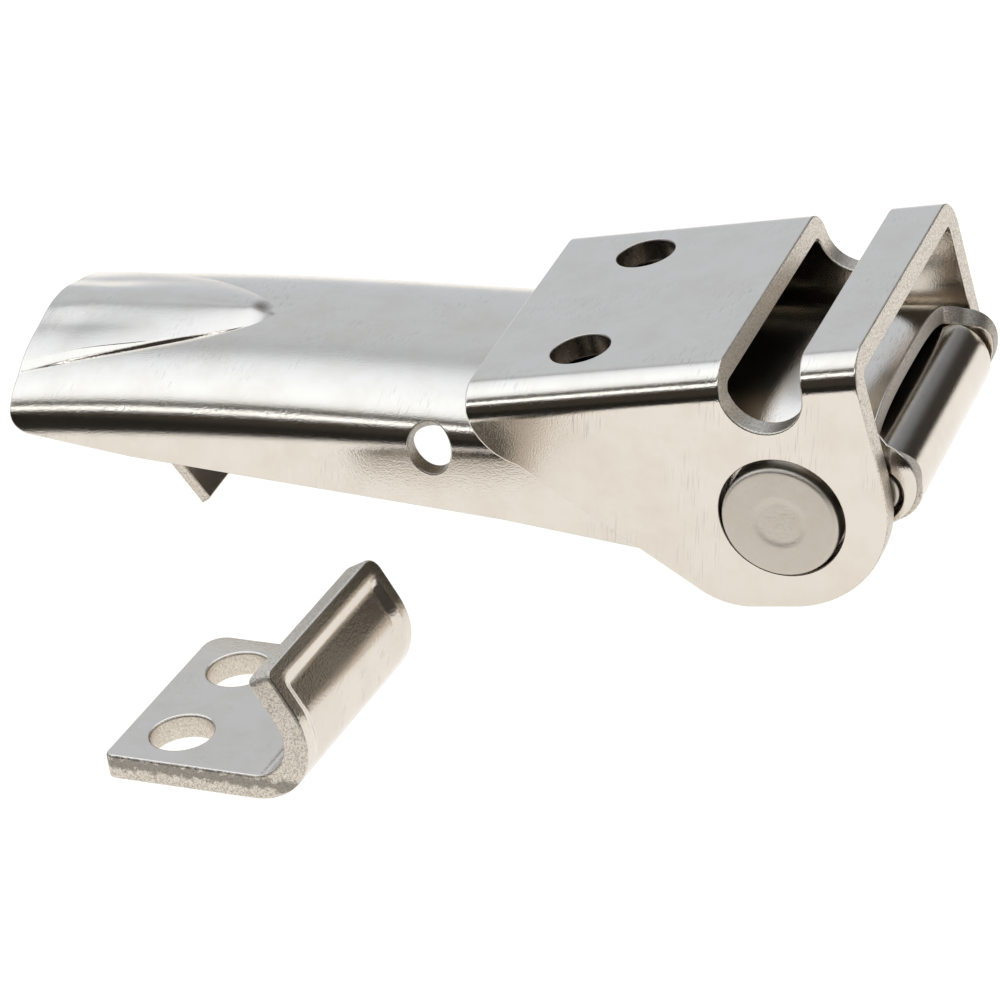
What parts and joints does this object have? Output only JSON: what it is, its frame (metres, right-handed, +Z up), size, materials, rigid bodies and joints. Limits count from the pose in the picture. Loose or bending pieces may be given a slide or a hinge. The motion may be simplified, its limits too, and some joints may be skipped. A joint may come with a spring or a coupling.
{
  "type": "toggle bolt latch",
  "caption": "Over-centre toggle latch with a folding hook drawbar and a separate hooked catch plate, in nickel-plated steel.",
  "frame": {"origin": "centre of the whole group's footprint, on the surface that it lies on", "axes": "+X along the latch from the lever's free end to its pivot end, +Y along the pivot axis away from the catch plate, +Z up from the surface; the mounting face is on top"},
  "size_m": [0.0718, 0.0576, 0.0207],
  "materials": {
    "bright_nickel": "bright nickel plating on pressed steel sheet",
    "satin_nickel": "dull nickel plating on turned steel",
    "drawbar_nickel": "bright nickel plating on thin rolled sheet"
  },
  "bodies": {
    "bracket": {"base_bracket": "bright_nickel"},
    "lever": {"lever": "bright_nickel", "journal_rivet_near": "satin_nickel", "journal_rivet_far": "satin_nickel", "hook_pin": "satin_nickel"},
    "drawbar": {"drawbar": "drawbar_nickel"},
    "catch": {"catch_plate": "bright_nickel"}
  },
  "joints": [
    {"name": "lever_pivot", "type": "hinge", "parent": "bracket", "child": "lever", "pos_m": [0.0261, 0.01497, 0.00742], "axis": [0, -1, 0], "range_deg": [0, 187]},
    {"name": "hook_pivot", "type": "hinge", "parent": "lever", "child": "drawbar", "pos_m": [0.0326, 0.01497, 0.00872], "axis": [0, -1, 0], "range_deg": [0, 180]},
    {"name": "catch_draw", "type": "slide", "parent": "bracket", "child": "catch", "axis": [1, 0, 0], "range_m": [0, 0.013]}
  ]
}
